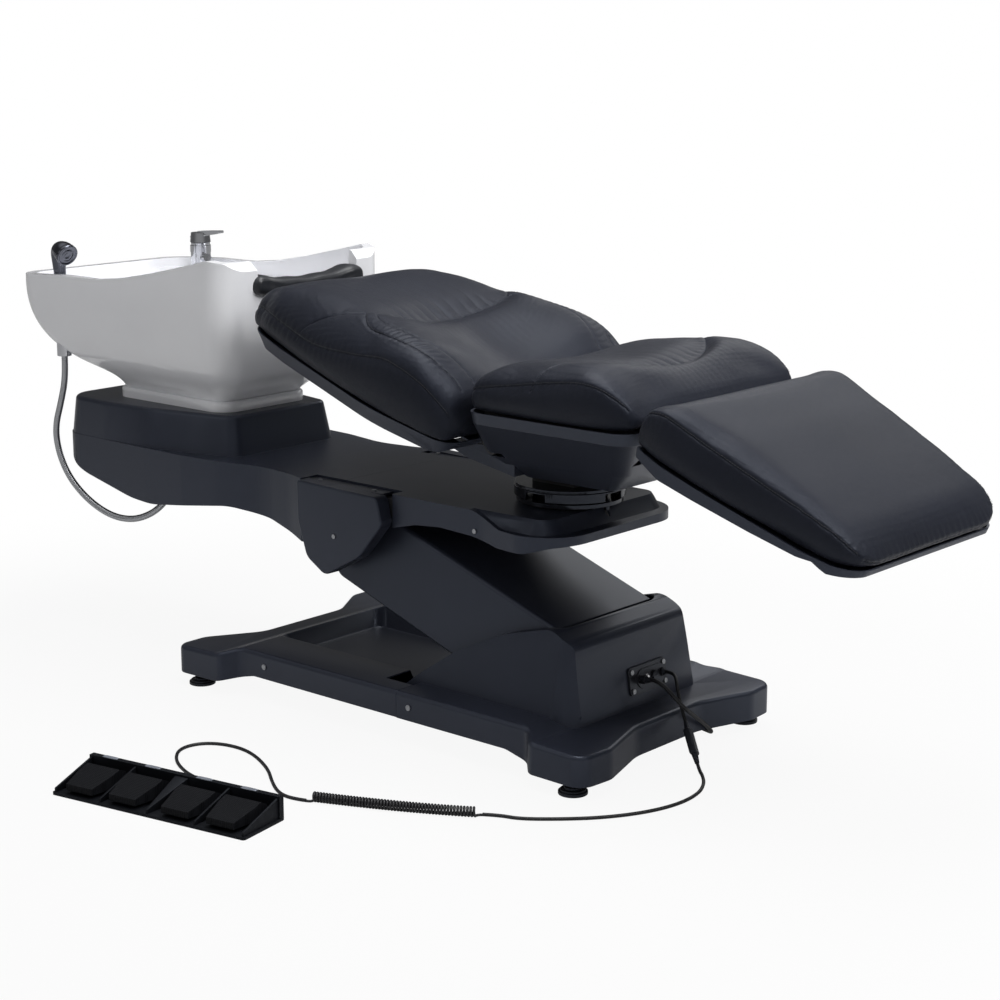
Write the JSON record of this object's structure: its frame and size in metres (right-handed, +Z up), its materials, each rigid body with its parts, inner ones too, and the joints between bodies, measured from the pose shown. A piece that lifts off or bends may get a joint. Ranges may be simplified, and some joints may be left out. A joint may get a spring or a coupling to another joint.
{
  "type": "hair washing bed",
  "caption": "Powered hair washing bed: lift base, swivel seat with folding back and leg rests, ceramic bowl with tap and hand shower, and a corded foot control.",
  "frame": {"origin": "on the floor, under the centre of the box round the bed and its foot control without the cords", "axes": "+X from the bowl end to the foot end, +Y away from the foot control, +Z up"},
  "size_m": [2.1214, 1.3235, 0.8601],
  "materials": {
    "cover_plastic": "fine satin",
    "frame_steel": "black powder coat",
    "zinc_steel": "zinc plated",
    "motor_housing": "satin",
    "panel_plastic": "satin",
    "button_metal": "polished",
    "bowl_glaze": "gloss",
    "drain_metal": "polished",
    "drain_plastic": "satin",
    "tap_chrome": "polished",
    "dark_chrome": "dark polished",
    "hose_metal": "interlocked strip",
    "neck_rubber": "satin",
    "ring_gloss": "gloss",
    "shell_plastic": "satin",
    "black_leather": "soft sheen",
    "pedal_plastic": "satin",
    "tread_rubber": "dimpled",
    "cord_rubber": "satin"
  },
  "bodies": {
    "base": {"base_cover_rear": "cover_plastic", "base_cover_front": "cover_plastic", "levelling_feet": "zinc_steel", "base_frame": "frame_steel", "lower_pivot_shaft": "zinc_steel", "socket_panel": "panel_plastic", "fuse_cap": "panel_plastic", "base_screws": "zinc_steel", "control_box": "motor_housing", "lift_actuator": "motor_housing", "pedal_base": "pedal_plastic", "pedal_lead": "cord_rubber", "curly_cord": "cord_rubber", "control_lead": "cord_rubber", "inline_connector": "panel_plastic", "socket_lead": "cord_rubber", "control_plug": "panel_plastic", "mains_inlet_plug": "panel_plastic", "mains_cord": "cord_rubber", "mains_coil": "cord_rubber", "mains_plug": "panel_plastic"},
    "button": {"power_button": "button_metal"},
    "arm": {"lift_arm": "frame_steel", "arm_cover": "cover_plastic"},
    "rod": {"lift_rod": "zinc_steel"},
    "link": {"level_link": "frame_steel"},
    "carriage": {"carriage_frame": "frame_steel", "rear_cover": "cover_plastic", "front_cover": "cover_plastic", "pivot_cover_near": "cover_plastic", "pivot_cover_far": "cover_plastic", "cover_screws": "zinc_steel", "bowl": "bowl_glaze", "drain_strainer": "drain_metal", "drain_tail": "drain_plastic", "tap_body": "tap_chrome", "shower_sleeve": "dark_chrome", "shower_hose": "hose_metal", "neck_rest": "neck_rubber", "swivel_lower_ring": "ring_gloss"},
    "cartridge": {"tap_cartridge": "tap_chrome"},
    "lever": {"tap_lever": "tap_chrome"},
    "shower": {"hand_shower": "dark_chrome"},
    "seat": {"swivel_upper_plate": "ring_gloss", "seat_frame": "frame_steel", "seat_shell": "shell_plastic", "seat_cushion": "black_leather", "recline_actuator": "motor_housing", "hinge_pins": "zinc_steel"},
    "bar": {"recline_bar": "frame_steel"},
    "back": {"back_frame": "frame_steel", "back_shell": "shell_plastic", "back_cushion": "black_leather"},
    "leg": {"leg_frame": "frame_steel", "leg_shell": "shell_plastic", "leg_cushion": "black_leather"},
    "pedal_one": {"pedal_1": "tread_rubber"},
    "pedal_two": {"pedal_2": "tread_rubber"},
    "pedal_three": {"pedal_3": "tread_rubber"},
    "pedal_four": {"pedal_4": "tread_rubber"}
  },
  "joints": [
    {"name": "lift", "type": "hinge", "parent": "base", "child": "arm", "pos_m": [0.32782, 0.28333, 0.175], "axis": [0, 1, 0], "range_deg": [-10, 30]},
    {"name": "carriage_level", "type": "hinge", "parent": "arm", "child": "carriage", "pos_m": [-0.12218, 0.28333, 0.333], "axis": [0, 1, 0], "range_deg": [-30, 10]},
    {"name": "link_turn", "type": "hinge", "parent": "base", "child": "link", "pos_m": [0.32782, 0.28333, 0.225], "axis": [0, 1, 0], "range_deg": [-10, 30]},
    {"name": "rod_slide", "type": "slide", "parent": "base", "child": "rod", "axis": [1, 0, 0], "range_m": [-0.0464, 0.0156]},
    {"name": "button_press", "type": "slide", "parent": "base", "child": "button", "axis": [-0.9861, 0, -0.1663], "range_m": [0, 0.0025], "stiffness_N_per_m": 400, "springref_m": -0.0005},
    {"name": "swivel", "type": "hinge", "parent": "carriage", "child": "seat", "pos_m": [0.28982, 0.28333, 0.47], "axis": [0, 0, 1], "range_deg": [-90, 90]},
    {"name": "back_recline", "type": "hinge", "parent": "seat", "child": "back", "pos_m": [0.17283, 0.28333, 0.64], "axis": [0, 1, 0], "range_deg": [0, 55]},
    {"name": "leg_fold", "type": "hinge", "parent": "seat", "child": "leg", "pos_m": [0.68783, 0.28333, 0.65], "axis": [0, 1, 0], "range_deg": [0, 44]},
    {"name": "bar_slide", "type": "slide", "parent": "seat", "child": "bar", "axis": [1, 0, 0], "range_m": [-0.044, 0]},
    {"name": "tap_turn", "type": "hinge", "parent": "carriage", "child": "cartridge", "pos_m": [-0.91217, 0.45133, 0.83], "axis": [0, 0, 1], "range_deg": [-50, 50]},
    {"name": "tap_lift", "type": "hinge", "parent": "cartridge", "child": "lever", "pos_m": [-0.92368, 0.45133, 0.84276], "axis": [0, -1, 0], "range_deg": [0, 20]},
    {"name": "shower_pull", "type": "slide", "parent": "carriage", "child": "shower", "axis": [0, 0, 1], "range_m": [0, 0.07]},
    {"name": "pedal_1_press", "type": "hinge", "parent": "base", "child": "pedal_one", "pos_m": [0.02255, -0.45473, 0.016], "axis": [0.9848, 0.1736, 0], "range_deg": [0, 3], "stiffness_Nm_per_rad": 3, "springref_deg": -5.73},
    {"name": "pedal_2_press", "type": "hinge", "parent": "base", "child": "pedal_two", "pos_m": [0.02255, -0.45473, 0.016], "axis": [0.9848, 0.1736, 0], "range_deg": [0, 3], "stiffness_Nm_per_rad": 3, "springref_deg": -5.73},
    {"name": "pedal_3_press", "type": "hinge", "parent": "base", "child": "pedal_three", "pos_m": [0.02255, -0.45473, 0.016], "axis": [0.9848, 0.1736, 0], "range_deg": [0, 3], "stiffness_Nm_per_rad": 3, "springref_deg": -5.73},
    {"name": "pedal_4_press", "type": "hinge", "parent": "base", "child": "pedal_four", "pos_m": [0.02255, -0.45473, 0.016], "axis": [0.9848, 0.1736, 0], "range_deg": [0, 3], "stiffness_Nm_per_rad": 3, "springref_deg": -5.73}
  ],
  "couplings": [
    {"joint": "carriage_level", "follows": "lift", "ratio": -1},
    {"joint": "link_turn", "follows": "lift", "ratio": 1},
    {"joint": "rod_slide", "follows": "lift", "m_per_rad": -0.0882},
    {"joint": "leg_fold", "follows": "back_recline", "ratio": 0.8},
    {"joint": "bar_slide", "follows": "back_recline", "m_per_rad": -0.0452}
  ]
}
